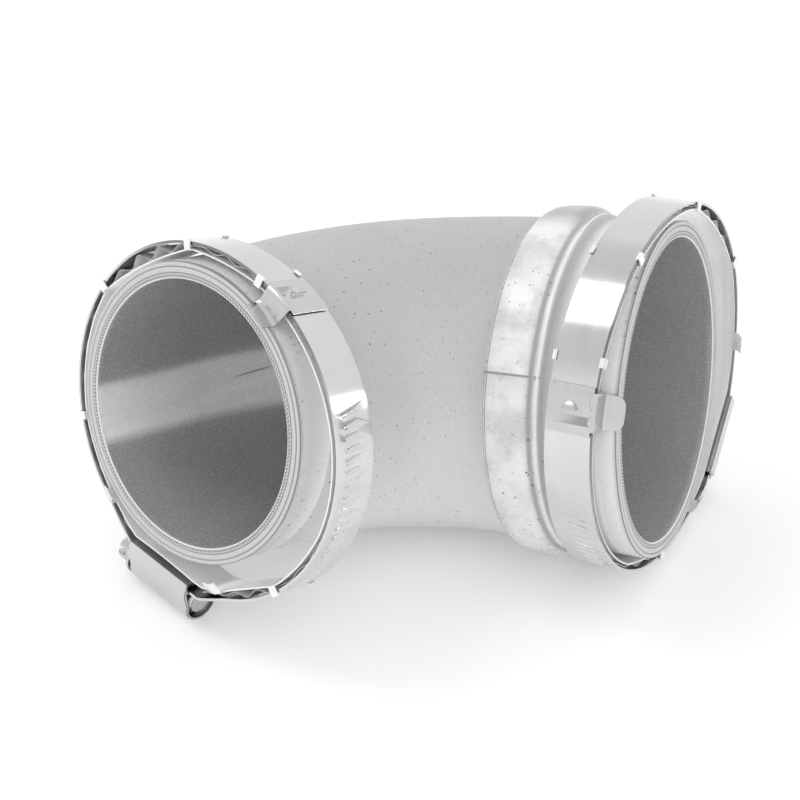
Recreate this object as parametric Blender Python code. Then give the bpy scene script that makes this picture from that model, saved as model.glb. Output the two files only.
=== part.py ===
"""Charge air hose: a widening moulded elbow with a raised collar and two worm drive clamps.

The elbow is built with its bend flat and its large end along +X. It is then leant into the
pose in which it rests on a floor, on its bend, its collar and one clamp, with +Z up.
Each clamp hangs loosely on its end of the hose and is held there by a positioning clip.
"""
import math

import bmesh
import bpy
import numpy as np
from mathutils import Matrix, Vector

MM = 0.001
UP = np.array([0.0, 0.0, 1.0])

# Elbow
SMALL_BORE = 70.0 * MM
LARGE_BORE = 83.0 * MM
WALL = 4.4 * MM
BEND_ANGLE = math.radians(75.6)
BEND_RADIUS = 57.0 * MM
SMALL_ARM = 83.5 * MM
LARGE_ARM = 82.0 * MM
AROUND_HOSE = 56
ARC_STEPS = 12

# Share of the hose's length, then share of the bore's widening that is reached there
WIDENING = ((0.0, 0.0), (0.1, 0.031), (0.5, 0.615), (0.8, 0.862), (1.0, 1.0))

# Raised collar of the elbow: distance from the large end, then height over the hose
COLLAR_PROFILE = (
    (37.2 * MM, 0.0 * MM),
    (36.4 * MM, 0.8 * MM),
    (35.2 * MM, 2.3 * MM),
    (33.8 * MM, 3.1 * MM),
    (31.8 * MM, 3.4 * MM),
    (25.4 * MM, 3.4 * MM),
    (24.2 * MM, 3.0 * MM),
    (23.4 * MM, 2.2 * MM),
    (22.8 * MM, 1.3 * MM),
    (22.0 * MM, 1.2 * MM),
    (21.4 * MM, 1.5 * MM),
    (20.7 * MM, 1.1 * MM),
    (20.0 * MM, 0.2 * MM),
    (19.5 * MM, 0.0 * MM),
)
LAP_ANGLE = math.radians(13.0)
LAP_FADE = math.radians(70.0)
LAP_STEP = 0.45 * MM
LAP_MIN_HEIGHT = 2.0 * MM

# Strips of a clamp, from the outside in, and the clearance between neighbours
GAP = 0.3 * MM
BAND_WIDTH = 12.6 * MM
BAND_SHEET = 0.7 * MM
SPRING_WIDTH = BAND_WIDTH - 2.0 * MM
SPRING_SHEET = 0.25 * MM
SPRING_HEIGHT = 0.5 * MM
SPRING_WAVES = 34
WAVE_BREAKS = (0.0, 0.15, 0.5, 0.65)
LINER_WIDTH = BAND_WIDTH - 0.6 * MM
LINER_SHEET = 0.4 * MM
LINER_STEP = 4.5
STACK = BAND_SHEET + SPRING_HEIGHT + LINER_SHEET + 2 * GAP

# Order of the parts round a clamp, in degrees
HOUSING_PHASE = 156.5
THREAD_START = 37.0
THREAD_END = HOUSING_PHASE - 14.0
RAMP_START = HOUSING_PHASE - 30.0
RAMP_END = HOUSING_PHASE - 18.0
EAR_PHASES = (103.0, 221.0, 268.0, 313.0, 347.0)
END_TAB_PHASES = (129.0, 191.0)

# Between these phases the liner bends away from the band, and then comes back to it
SAG_ENDS = (-13.0, 75.0, 103.0, 129.0, 191.0, 221.0, 268.0, 313.0, 347.0)
SMALL_CLAMP_SAGS = tuple(sag * MM for sag in (0.3, 0.4, 1.3, 1.2, 0.3, 0.4, 2.3, 0.7))
LARGE_CLAMP_SAGS = tuple(sag * MM for sag in (0.3, 0.8, 0.4, 1.2, 0.3, 1.4, 0.5, 0.8))

# The band's fixed end, in degrees from the middle of the housing
BAND_INNER_END = -9.0

# One groove of the band's thread; its middle lies off the middle of the band
THREAD_PITCH = 2.8 * MM
GROOVE_DEPTH = 0.4 * MM
GROOVE_LENGTH = 5.4 * MM
GROOVE_WIDTH = 1.3 * MM
GROOVE_FLOOR_WIDTH = 0.7 * MM
GROOVE_SLANT = math.radians(12.0)
GROOVE_SHIFT = 0.9 * MM
GROOVE_END_STEPS = 4

# Ears and end tabs of the liner; an overlap is how far they reach in over the liner
FOLD_SHEET = 0.3 * MM
EAR_HALF_ANGLE = 1.4
EAR_CLEARANCE = GAP + FOLD_SHEET / 2
EAR_HOOK = 0.9 * MM
TAB_HALF_ANGLE = 3.0
TAB_REACH = 3.6 * MM
TAB_BEND = 1.4 * MM
TAB_DROP = 3.0 * MM
LINER_OVERLAP = 1.5 * MM

# Worm screw
HEX_ACROSS = 7.0 * MM
HEX_LENGTH = 5.6 * MM
HEX_CHAMFER = 1.0 * MM
FLANGE_RADIUS = 5.2 * MM
FLANGE_THICKNESS = 1.3 * MM
FLANGE_EDGE = 0.3 * MM
FLANGE_GAP = 0.8 * MM
NECK_RADIUS = 2.7 * MM
THREAD_RADIUS = 4.1 * MM
THREAD_DEPTH = 1.0 * MM
WORM_PITCH = 3.0 * MM
SLOT_WIDTH = 1.7 * MM
SLOT_DEPTH = 3.6 * MM
AROUND_SCREW = 18
STEPS_PER_TURN = 5

# Worm housing, with X along the screw towards its head and Z away from the hose
HOUSING_HEAD_END = 13.3 * MM
HOUSING_OPEN_END = -10.5 * MM
HOUSING_SHEET = 0.7 * MM
SCREW_HEIGHT = THREAD_RADIUS + 1.8 * MM
ARCH_RADIUS = THREAD_RADIUS + 0.4 * MM
ARCH_LEAN = math.radians(20.0)
ARCH_STEPS = 10
FRONT_WALL = 0.9 * MM
SHOULDER_HEIGHT = BAND_SHEET + 2 * GAP + 0.2 * MM
FLAT_BLEND = 16.0

# How far the flat, the band's tail and the spring's opening go past the housing's head end
FLAT_MARGIN = 0.5 * MM
BAND_TAIL = 0.4 * MM
SPRING_CLEARANCE = 1.6 * MM

# Positioning clip, whose spans are in degrees round the band
CLIP_SPAN = 14.0
CLIP_SHEET = 0.4 * MM
CLIP_WIDTH = BAND_WIDTH - 0.4 * MM
CLIP_TOP = GAP + CLIP_SHEET / 2
CLIP_EDGE = BAND_WIDTH / 2 + GAP + CLIP_SHEET / 2
LEAF_SPAN = 11.0
LEAF_REACH = 5.8 * MM
LEAF_FOLD = 1.6 * MM
LEAF_CORNER_SPAN = 3.2
LEAF_CORNER = 2.6 * MM
LUG_RADIUS = 2.0 * MM
LUG_RISE = 1.1 * MM
LUG_FALL = 0.55

# A cutter reaches past what it cuts by this much
PAST = 1.0 * MM

# Pose at rest: leant about X, then about Y
REST_ROLL = math.radians(-16.9)
REST_PITCH = math.radians(-10.1)


def clear_scene():
    for obj in list(bpy.data.objects):
        bpy.data.objects.remove(obj, do_unlink=True)


def make_material(name, colour, metallic, roughness):
    material = bpy.data.materials.new(name)
    material.use_nodes = True
    shader = material.node_tree.nodes["Principled BSDF"]
    shader.inputs["Base Color"].default_value = (*colour, 1.0)
    shader.inputs["Metallic"].default_value = metallic
    shader.inputs["Roughness"].default_value = roughness
    return material


def add_mesh(name, vertices, faces, material=None):
    """Add one closed mesh with its faces turned outwards."""
    shape = bmesh.new()
    corners = [shape.verts.new(Vector(point)) for point in vertices]
    for face in faces:
        shape.faces.new([corners[index] for index in face])
    bmesh.ops.recalc_face_normals(shape, faces=shape.faces)
    mesh = bpy.data.meshes.new(name)
    shape.to_mesh(mesh)
    shape.free()
    if material:
        mesh.materials.append(material)
    obj = bpy.data.objects.new(name, mesh)
    bpy.context.collection.objects.link(obj)
    return obj


def skin(rings, closed=False):
    """Join rings of points into a tube: capped at both ends, or closed into a loop."""
    count = len(rings[0])
    vertices = [point for ring in rings for point in ring]
    faces = []
    for i in range(len(rings) if closed else len(rings) - 1):
        j = (i + 1) % len(rings)
        for k in range(count):
            m = (k + 1) % count
            faces.append((i * count + k, i * count + m, j * count + m, j * count + k))
    if not closed:
        last = (len(rings) - 1) * count
        faces.append(tuple(range(count)))
        faces.append(tuple(range(last, last + count)))
    return vertices, faces


def join_solids(parts):
    """Put several closed meshes, given as vertices and faces, into one list each."""
    vertices = []
    faces = []
    for part_vertices, part_faces in parts:
        start = len(vertices)
        vertices.extend(part_vertices)
        faces.extend(tuple(index + start for index in face) for face in part_faces)
    return vertices, faces


def boolean(target, operation, vertices, faces):
    """Add or cut away a hidden helper shape that shares the target's placement."""
    helper = add_mesh(f"{target.name}_{operation.lower()}", vertices, faces)
    helper.matrix_world = target.matrix_world.copy()
    helper.hide_render = True
    helper.display_type = "WIRE"
    modifier = target.modifiers.new(operation.title(), "BOOLEAN")
    modifier.object = helper
    modifier.operation = operation
    modifier.solver = "EXACT"


def box(x0, x1, y0, y1, z0, z1):
    low = [(x0, y0, z0), (x1, y0, z0), (x1, y1, z0), (x0, y1, z0)]
    high = [(x, y, z1) for x, y, _ in low]
    return skin([low, high])


def prism(outline, x0, x1):
    """Extrude an outline of (y, z) points along X."""
    return skin([[(x0, y, z) for y, z in outline], [(x1, y, z) for y, z in outline]])


# Elbow

def bend_tangent_length():
    return BEND_RADIUS * math.tan(BEND_ANGLE / 2)


def centre_line_length():
    straight = SMALL_ARM + LARGE_ARM - 2 * bend_tangent_length()
    return straight + BEND_RADIUS * BEND_ANGLE


def centre_line(distance):
    """Point and direction of the hose's centre line at a distance from the small end."""
    tangent_length = bend_tangent_length()
    first = SMALL_ARM - tangent_length
    into = np.array([math.cos(BEND_ANGLE), math.sin(BEND_ANGLE), 0.0])
    if distance <= first:
        return -into * (SMALL_ARM - distance), into
    turned = min((distance - first) / BEND_RADIUS, BEND_ANGLE)
    heading = BEND_ANGLE - turned
    direction = np.array([math.cos(heading), math.sin(heading), 0.0])
    bend_centre = np.array([tangent_length, -BEND_RADIUS, 0.0])
    outwards = np.array([-math.sin(heading), math.cos(heading), 0.0])
    on_arc = bend_centre + outwards * BEND_RADIUS
    beyond = max(0.0, distance - first - BEND_RADIUS * BEND_ANGLE)
    return on_arc + direction * beyond, direction


def bore_radius(distance):
    """Inner radius of the hose, which widens along its length."""
    lengths, widened = zip(*WIDENING)
    share = float(np.interp(distance / centre_line_length(), lengths, widened))
    return (SMALL_BORE + (LARGE_BORE - SMALL_BORE) * share) / 2


def lap_height(angle, height):
    """Extra height of the collar's wrap where it laps over itself, above the lap seam."""
    if angle < LAP_ANGLE or angle > LAP_ANGLE + LAP_FADE or height < LAP_MIN_HEIGHT:
        return 0.0
    return LAP_STEP * (1 - (angle - LAP_ANGLE) / LAP_FADE)


def hose_profile(angle):
    """Closed outline of the hose wall at one angle, as (distance, radius) pairs."""
    total = centre_line_length()
    arc_start = SMALL_ARM - bend_tangent_length()
    arc = np.linspace(arc_start, arc_start + BEND_RADIUS * BEND_ANGLE, ARC_STEPS)
    plain = [0.0, WIDENING[1][0] * total, *arc, total]
    collar, heights = zip(*[(total - from_end, height) for from_end, height in COLLAR_PROFILE])
    outer = []
    for distance in sorted({*plain, *collar}):
        height = float(np.interp(distance, collar, heights))
        raised = height + lap_height(angle, height)
        outer.append((distance, bore_radius(distance) + WALL + raised))
    inner = [(distance, bore_radius(distance)) for distance in reversed(plain)]
    return outer + inner


def build_hose(material):
    angles = [2 * math.pi * i / AROUND_HOSE for i in range(AROUND_HOSE)]
    angles += [LAP_ANGLE - math.radians(0.4), LAP_ANGLE]
    rings = []
    for angle in sorted(angles):
        ring = []
        for distance, radius in hose_profile(angle):
            centre, direction = centre_line(distance)
            side = np.cross(direction, UP)
            ring.append(centre + radius * (math.cos(angle) * side + math.sin(angle) * UP))
        rings.append(ring)
    return add_mesh("hose_elbow", *skin(rings, closed=True), material)


# Clamps

class Clamp:
    """Path of one clamp: a slightly oval hoop with a flat under its worm housing.

    A phase counts degrees from the start angle, in the direction in which the thread runs.
    Heights count outwards from the outer face of the band. The play is the clearance that
    the liner has round the hose on average. There is one sag for each pair of sag ends.
    """

    def __init__(self, name, end_distance, yaw, pitch, shift, set_back, play, oval,
                 oval_angle, start_angle, turn, clip_phase, sags):
        self.name = name
        self.end_distance = end_distance
        self.end, direction = centre_line(end_distance)
        self.inwards = 1 if end_distance == 0 else -1
        self.axis = -direction * self.inwards
        side = np.cross(UP, self.axis)
        normal = self.axis + side * math.tan(math.radians(yaw))
        normal = normal + UP * math.tan(math.radians(pitch))
        self.normal = normal / np.linalg.norm(normal)
        rise = UP - self.normal * self.normal[2]
        self.rise = rise / np.linalg.norm(rise)
        self.side = np.cross(self.rise, self.normal)
        self.centre = self.end - self.axis * set_back + side * shift[0] + UP * shift[1]
        self.centre = self.centre - self.normal * BAND_WIDTH / 2
        self.radius = bore_radius(end_distance) + WALL + play + STACK
        self.oval = oval
        self.oval_angle = oval_angle
        self.start_angle = start_angle
        self.turn = turn
        self.clip_phase = clip_phase
        self.sags = sags

    def loop_radius(self, angle):
        wave = math.cos(2 * math.radians(angle - self.oval_angle))
        return self.radius * (1 + self.oval * wave)

    def ray(self, phase):
        angle = math.radians(self.start_angle + self.turn * phase)
        return math.cos(angle) * self.side + math.sin(angle) * self.rise

    def flat_distance(self):
        """Distance from the hoop's centre to the flat under the worm housing."""
        return self.loop_radius(self.start_angle + self.turn * HOUSING_PHASE)

    def past_housing(self, length):
        """Angle from the housing's middle to a point past its head end."""
        return math.degrees(math.atan((HOUSING_HEAD_END + length) / self.flat_distance()))

    def reach(self, phase, height):
        """Distance from the hoop's centre at one phase, for a height over the band."""
        reach = self.loop_radius(self.start_angle + self.turn * phase)
        from_housing = abs((phase - HOUSING_PHASE + 180) % 360 - 180)
        flat_end = self.past_housing(FLAT_MARGIN)
        if from_housing <= flat_end:
            return (self.flat_distance() + height) / math.cos(math.radians(from_housing))
        edge = self.flat_distance() / math.cos(math.radians(flat_end))
        fade = max(0.0, 1 - (from_housing - flat_end) / FLAT_BLEND)
        return reach + height + (edge - reach) * fade

    def point(self, phase, height, across):
        return self.centre + self.ray(phase) * self.reach(phase, height) + self.normal * across

    def degrees(self, length):
        """Angle that a length takes up round the band."""
        return math.degrees(length / self.radius)

    def spring_room(self, phase):
        """Height between the band and the liner that the wave spring fills at a phase."""
        phase = (phase - SAG_ENDS[0]) % 360 + SAG_ENDS[0]
        room = SPRING_HEIGHT
        for start, end, sag in zip(SAG_ENDS, SAG_ENDS[1:], self.sags):
            share = (phase - start) / (end - start)
            room += sag * max(0.0, 4 * share * (1 - share))
        return room

    def liner_height(self, phase):
        """Height of the liner's inner face."""
        return -BAND_SHEET - 2 * GAP - LINER_SHEET - self.spring_room(phase)

    def hose_height(self, phase, across, clearance):
        """Height at which a point lies just over the hose's outside."""
        height = -3.0 * MM
        for _ in range(6):
            offset = self.point(phase, height, across) - self.end
            from_axis = offset - self.axis * (offset @ self.axis)
            distance = self.end_distance - self.inwards * (offset @ self.axis)
            target = bore_radius(distance) + WALL + clearance
            height -= np.linalg.norm(from_axis) - target
        return height

    def sweep(self, phases, section, closed=False):
        """Skin a section, given as (height, across) pairs for a phase, along the hoop."""
        rings = [[self.point(phase, *pair) for pair in section(phase)] for phase in phases]
        return skin(rings, closed)

    def housing_matrix(self):
        """Placement of the housing: X towards the screw's head, Z away from the hose."""
        origin = self.centre + self.ray(HOUSING_PHASE) * self.flat_distance()
        outwards = self.ray(HOUSING_PHASE)
        along = np.cross(self.normal, outwards) * self.turn
        across = np.cross(outwards, along)
        matrix = Matrix.Identity(4)
        for column, axis in enumerate((along, across, outwards, origin)):
            for row in range(3):
                matrix[row][column] = axis[row]
        return matrix


def sheet_section(height, sheet, width):
    """Rectangle of a flat strip whose inner face lies at a height."""
    half = width / 2
    return [(height, -half), (height, half), (height + sheet, half), (height + sheet, -half)]


def thick_path(points, sheet):
    """Closed outline of a bent sheet around a path of (height, across) points."""
    path = [np.array(point, dtype=float) for point in points]
    left = []
    right = []
    for i, point in enumerate(path):
        before = point - path[i - 1] if i > 0 else path[1] - point
        after = path[i + 1] - point if i < len(path) - 1 else before
        before = before / np.linalg.norm(before)
        after = after / np.linalg.norm(after)
        bisector = before + after
        bisector = bisector / np.linalg.norm(bisector)
        normal = np.array([-bisector[1], bisector[0]])
        offset = normal * (sheet / 2) / (bisector @ before)
        left.append(tuple(point + offset))
        right.append(tuple(point - offset))
    return left + right[::-1]


def band_height(phase):
    """Height of the band's inner face: its threaded end climbs over the fixed end."""
    climb = BAND_SHEET + GAP
    late = phase - 360
    return -BAND_SHEET + climb * float(np.clip((late - RAMP_START) / (RAMP_END - RAMP_START), 0, 1))


def groove_outline(width):
    """Slanted outline of a groove with round ends, as (along, across) pairs."""
    radius = width / 2
    straight = (GROOVE_LENGTH - GROOVE_WIDTH) / 2
    outline = []
    for end in (1, -1):
        for turn in np.linspace(0, math.pi, GROOVE_END_STEPS):
            along = end * radius * math.cos(turn)
            across = end * (straight + radius * math.sin(turn))
            outline.append((along + across * math.tan(GROOVE_SLANT), across + GROOVE_SHIFT))
    return outline


def thread_groove(clamp, phase):
    """Shape of one groove of the band's embossed thread, with sloping sides."""
    outer = band_height(phase) + BAND_SHEET
    levels = (
        (outer - GROOVE_DEPTH, GROOVE_FLOOR_WIDTH),
        (outer, GROOVE_WIDTH),
        (outer + PAST, GROOVE_WIDTH),
    )
    rings = []
    for height, width in levels:
        outline = groove_outline(width)
        rings.append([clamp.point(phase + clamp.degrees(a), height, b) for a, b in outline])
    return skin(rings)


def build_band(clamp, material):
    start = HOUSING_PHASE + BAND_INNER_END
    tail = HOUSING_PHASE + 360 + clamp.past_housing(BAND_TAIL)
    flat_end = clamp.past_housing(FLAT_MARGIN)
    flat_ends = {HOUSING_PHASE + flat_end, HOUSING_PHASE + 360 - flat_end}
    phases = sorted(flat_ends | set(np.linspace(start, tail, 100)))
    vertices, faces = clamp.sweep(
        phases, lambda phase: sheet_section(band_height(phase), BAND_SHEET, BAND_WIDTH))
    band = add_mesh(f"{clamp.name}_band", vertices, faces, material)
    phases = np.arange(360 + THREAD_START, 360 + THREAD_END, clamp.degrees(THREAD_PITCH))
    grooves = [thread_groove(clamp, phase) for phase in phases]
    boolean(band, "DIFFERENCE", *join_solids(grooves))
    return band


def wave_height(clamp, phase):
    """Height of the wave spring's inner face: flat crests and troughs with slopes between."""
    top = -BAND_SHEET - GAP - SPRING_SHEET
    travel = clamp.spring_room(phase) - SPRING_SHEET
    turn = (phase * SPRING_WAVES / 360) % 1
    return top - travel * float(np.interp(turn, (*WAVE_BREAKS, 1), (0, 0, 1, 1, 0)))


def build_wave_spring(clamp, material):
    step = 360 / SPRING_WAVES
    breaks = [(wave + part) * step for wave in range(2 * SPRING_WAVES) for part in WAVE_BREAKS]
    opening = clamp.past_housing(SPRING_CLEARANCE)
    first = HOUSING_PHASE + opening
    last = HOUSING_PHASE + 360 - opening
    margin = step * WAVE_BREAKS[1] / 4
    phases = [first] + [p for p in breaks if first + margin < p < last - margin] + [last]
    vertices, faces = clamp.sweep(
        phases, lambda phase: sheet_section(wave_height(clamp, phase), SPRING_SHEET, SPRING_WIDTH))
    return add_mesh(f"{clamp.name}_wave_spring", vertices, faces, material)


def ear_section(side, root):
    """Section of an ear that folds from the liner's edge over an edge of the band."""
    edge = BAND_WIDTH / 2 + EAR_CLEARANCE
    top = GAP + FOLD_SHEET / 2
    path = [
        (root, side * (LINER_WIDTH / 2 - LINER_OVERLAP)),
        (root, side * edge),
        (top, side * edge),
        (top, side * (edge - EAR_HOOK)),
    ]
    return thick_path(path, FOLD_SHEET)


def tab_section(root):
    """Section of an end tab that leaves the liner's edge and turns in towards the hose."""
    edge = LINER_WIDTH / 2
    path = [
        (root, edge - LINER_OVERLAP),
        (root, edge + TAB_BEND),
        (root - TAB_DROP, edge + TAB_REACH),
    ]
    return thick_path(path, FOLD_SHEET)


def liner_phases():
    """Phases of the liner's bends, with one at each end of each sag."""
    phases = []
    for start, end in zip(SAG_ENDS, SAG_ENDS[1:]):
        steps = math.ceil((end - start) / LINER_STEP)
        phases += [start + (end - start) * i / steps for i in range(steps)]
    return phases


def build_liner(clamp, material):
    def strip(phase):
        return sheet_section(clamp.liner_height(phase), LINER_SHEET, LINER_WIDTH)

    def root(phase):
        return clamp.liner_height(phase) + LINER_SHEET / 2

    liner = add_mesh(f"{clamp.name}_liner", *clamp.sweep(liner_phases(), strip, closed=True), material)
    folds = []
    for phase in EAR_PHASES:
        span = (phase - EAR_HALF_ANGLE, phase, phase + EAR_HALF_ANGLE)
        folds.append(clamp.sweep(span, lambda p: ear_section(-1, root(p))))
        folds.append(clamp.sweep(span, lambda p: ear_section(1, root(p))))
    for phase in END_TAB_PHASES:
        span = (phase - TAB_HALF_ANGLE, phase, phase + TAB_HALF_ANGLE)
        folds.append(clamp.sweep(span, lambda p: tab_section(root(p))))
    boolean(liner, "UNION", *join_solids(folds))
    return liner


def housing_outline(grow):
    """Outline of the tunnel, as (y, z) points; grow turns its inner face into its outer one."""
    half_base = BAND_WIDTH / 2 + GAP + grow
    radius = ARCH_RADIUS + grow
    bottom = -BAND_SHEET - GAP - grow
    shoulder = SHOULDER_HEIGHT + grow
    arch = np.linspace(-ARCH_LEAN, math.pi + ARCH_LEAN, ARCH_STEPS + 1)[1:-1]
    outline = [(-half_base, bottom), (half_base, bottom), (half_base, shoulder)]
    outline += [(radius * math.cos(a), SCREW_HEIGHT + radius * math.sin(a)) for a in arch]
    outline.append((-half_base, shoulder))
    return outline


def disc(radius, x0, x1, count=20):
    """Cylinder along X at the screw's height."""
    angles = [2 * math.pi * i / count for i in range(count)]
    return prism([(radius * math.cos(a), SCREW_HEIGHT + radius * math.sin(a)) for a in angles], x0, x1)


def build_housing(clamp, material):
    outside = prism(housing_outline(HOUSING_SHEET), HOUSING_OPEN_END, HOUSING_HEAD_END)
    housing = add_mesh(f"{clamp.name}_housing", *outside, material)
    housing.matrix_world = clamp.housing_matrix()
    wall = HOUSING_HEAD_END - FRONT_WALL
    boolean(housing, "DIFFERENCE", *prism(housing_outline(0.0), HOUSING_OPEN_END - PAST, wall))
    slot_half = BAND_WIDTH / 2 + GAP
    slot = box(wall - PAST, HOUSING_HEAD_END + PAST, -slot_half, slot_half,
               -BAND_SHEET - GAP, BAND_SHEET + 2 * GAP)
    boolean(housing, "DIFFERENCE", *slot)
    boolean(housing, "DIFFERENCE", *disc(NECK_RADIUS + GAP, wall - PAST, HOUSING_HEAD_END + PAST))
    return housing


def screw_top():
    """Distance of the end of the screw's head from the middle of the housing."""
    return HOUSING_HEAD_END + FLANGE_GAP + FLANGE_THICKNESS + HEX_LENGTH


def thread_start():
    """Distance from the middle of the housing at which the worm begins behind its neck."""
    return HOUSING_HEAD_END - FRONT_WALL - 0.5 * MM


def screw_stations():
    """Plain stations of the screw from its head end: distance, radius and whether hexagonal."""
    flange = HOUSING_HEAD_END + FLANGE_GAP
    head = flange + FLANGE_THICKNESS
    return [
        (screw_top(), HEX_ACROSS / 2 - HEX_CHAMFER, True),
        (screw_top() - HEX_CHAMFER * 0.3, HEX_ACROSS / 2 - HEX_CHAMFER * 0.4, True),
        (screw_top() - HEX_CHAMFER, HEX_ACROSS / 2, True),
        (head, HEX_ACROSS / 2, True),
        (head, FLANGE_RADIUS - FLANGE_EDGE, False),
        (head - FLANGE_EDGE, FLANGE_RADIUS, False),
        (flange, FLANGE_RADIUS, False),
        (flange, NECK_RADIUS, False),
        (thread_start(), NECK_RADIUS, False),
    ]


def hexagon_factor(angle):
    """Ratio of a hexagon's radius at an angle to half its width across flats."""
    return 1 / math.cos((angle + math.pi / 6) % (math.pi / 3) - math.pi / 6)


def thread_radius(angle, distance, start, end):
    """Radius of the worm at an angle and distance, run out at both of its ends."""
    turn = (distance / WORM_PITCH + angle / (2 * math.pi)) % 1
    crest = float(np.interp(turn, (0, 0.2, 0.4, 0.65, 0.85, 1), (0, 0, 1, 1, 0, 0)))
    fade = max(0.0, min(1.0, (start - distance) / MM, (distance - end) / MM))
    return THREAD_RADIUS - THREAD_DEPTH * (1 - crest * fade)


def build_screw(clamp, material):
    angles = [2 * math.pi * i / AROUND_SCREW for i in range(AROUND_SCREW)]
    rings = []
    for distance, radius, hexagonal in screw_stations():
        ring = []
        for a in angles:
            r = radius * hexagon_factor(a) if hexagonal else radius
            ring.append((distance, r * math.cos(a), r * math.sin(a)))
        rings.append(ring)
    start = thread_start()
    end = HOUSING_OPEN_END + 0.6 * MM
    steps = int((start - end) / WORM_PITCH * STEPS_PER_TURN)
    for distance in np.linspace(start, end, steps + 1):
        ring = []
        for a in angles:
            r = thread_radius(a, distance, start, end)
            ring.append((distance, r * math.cos(a), r * math.sin(a)))
        rings.append(ring)
    screw = add_mesh(f"{clamp.name}_screw", *skin(rings), material)
    screw.matrix_world = clamp.housing_matrix() @ Matrix.Translation((0, 0, SCREW_HEIGHT))
    slot = box(screw_top() - SLOT_DEPTH, screw_top() + PAST, -HEX_ACROSS, HEX_ACROSS,
               -SLOT_WIDTH / 2, SLOT_WIDTH / 2)
    boolean(screw, "DIFFERENCE", *slot)
    return screw


def leaf_reach(offset):
    """Length of the clip's leaf at an angle from its middle: its corners are round."""
    beyond = (abs(offset) - LEAF_SPAN / 2) / LEAF_CORNER_SPAN + 1
    return LEAF_REACH - LEAF_CORNER * (1 - math.sqrt(1 - max(0.0, beyond) ** 2))


def leaf_section(clamp, offset):
    """Section of the clip's leaf: from the plate down to the hose and along it."""
    phase = clamp.clip_phase + offset
    clearance = GAP + CLIP_SHEET / 2
    near = CLIP_EDGE + LEAF_FOLD
    far = CLIP_EDGE + leaf_reach(offset)
    near_height = clamp.hose_height(phase, near, clearance)
    path = [
        (CLIP_TOP, CLIP_EDGE - LEAF_FOLD),
        (CLIP_TOP, CLIP_EDGE - CLIP_SHEET),
        (CLIP_TOP - CLIP_SHEET, CLIP_EDGE),
        (near_height + LEAF_FOLD / 2, CLIP_EDGE + LEAF_FOLD / 3),
        (near_height, near),
        (clamp.hose_height(phase, far, clearance), far),
    ]
    return thick_path(path, CLIP_SHEET)


def build_leaf(clamp):
    rings = []
    for turn in np.linspace(-math.pi / 2, math.pi / 2, 11):
        offset = LEAF_SPAN / 2 * math.sin(turn)
        section = leaf_section(clamp, offset)
        rings.append([clamp.point(clamp.clip_phase + offset, *pair) for pair in section])
    return skin(rings)


def clinch_lug(clamp):
    """Half round lug pressed out of the clip's plate, highest at its straight side."""
    low = []
    high = []
    for turn in np.linspace(0, math.pi, 9):
        along = math.sin(turn)
        phase = clamp.clip_phase - clamp.degrees(along * LUG_RADIUS)
        across = math.cos(turn) * LUG_RADIUS
        low.append(clamp.point(phase, CLIP_TOP, across))
        high.append(clamp.point(phase, CLIP_TOP + LUG_RISE * (1 - LUG_FALL * along), across))
    return skin([low, high])


def build_clip(clamp, material):
    phases = clamp.clip_phase + np.linspace(-CLIP_SPAN / 2, CLIP_SPAN / 2, 6)
    plate = clamp.sweep(phases, lambda _: sheet_section(GAP, CLIP_SHEET, CLIP_WIDTH))
    clip = add_mesh(f"{clamp.name}_clip", *plate, material)
    boolean(clip, "UNION", *build_leaf(clamp))
    boolean(clip, "UNION", *clinch_lug(clamp))
    return clip


def build_clamp(clamp):
    steel = (0.72, 0.72, 0.71)
    return [
        build_band(clamp, make_material(f"{clamp.name}_band", steel, 1.0, 0.28)),
        build_wave_spring(clamp, make_material(f"{clamp.name}_wave_spring", steel, 1.0, 0.25)),
        build_liner(clamp, make_material(f"{clamp.name}_liner", steel, 1.0, 0.22)),
        build_housing(clamp, make_material(f"{clamp.name}_housing", steel, 1.0, 0.32)),
        build_screw(clamp, make_material(f"{clamp.name}_screw", steel, 1.0, 0.35)),
        build_clip(clamp, make_material(f"{clamp.name}_clip", steel, 1.0, 0.3)),
    ]


def rest_on_floor(pieces):
    """Lean everything into its resting pose, over the origin and down on the floor."""
    lean = Matrix.Rotation(REST_PITCH, 4, "Y") @ Matrix.Rotation(REST_ROLL, 4, "X")
    for obj in bpy.data.objects:
        obj.matrix_world = lean @ obj.matrix_world
    depsgraph = bpy.context.evaluated_depsgraph_get()
    corners = []
    for piece in pieces:
        shape = piece.evaluated_get(depsgraph)
        corners += [shape.matrix_world @ vertex.co for vertex in shape.data.vertices]
    low = Vector(min(corner[axis] for corner in corners) for axis in range(3))
    high = Vector(max(corner[axis] for corner in corners) for axis in range(3))
    shift = Matrix.Translation((-(low.x + high.x) / 2, -(low.y + high.y) / 2, -low.z))
    for obj in bpy.data.objects:
        obj.matrix_world = shift @ obj.matrix_world


def main():
    clear_scene()
    hose = build_hose(make_material("hose_elbow", (0.55, 0.55, 0.55), 0.0, 0.45))
    small = Clamp("small_clamp", 0.0, yaw=-0.6, pitch=1.8, shift=(2.1 * MM, -1.9 * MM),
                  set_back=2.2 * MM, play=5.3 * MM, oval=0.045, oval_angle=150.0,
                  start_angle=48.0, turn=-1, clip_phase=-3.2, sags=SMALL_CLAMP_SAGS)
    large = Clamp("large_clamp", centre_line_length(), yaw=-5.0, pitch=-3.8,
                  shift=(0.3 * MM, 0.4 * MM), set_back=0.4 * MM, play=2.9 * MM, oval=0.005,
                  oval_angle=20.0, start_angle=174.5, turn=1, clip_phase=1.0,
                  sags=LARGE_CLAMP_SAGS)
    rest_on_floor([hose] + build_clamp(small) + build_clamp(large))


main()
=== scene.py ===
"""Looks of a charge air hose elbow with its two worm drive clamps, lying on a pale floor."""
import math

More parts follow.
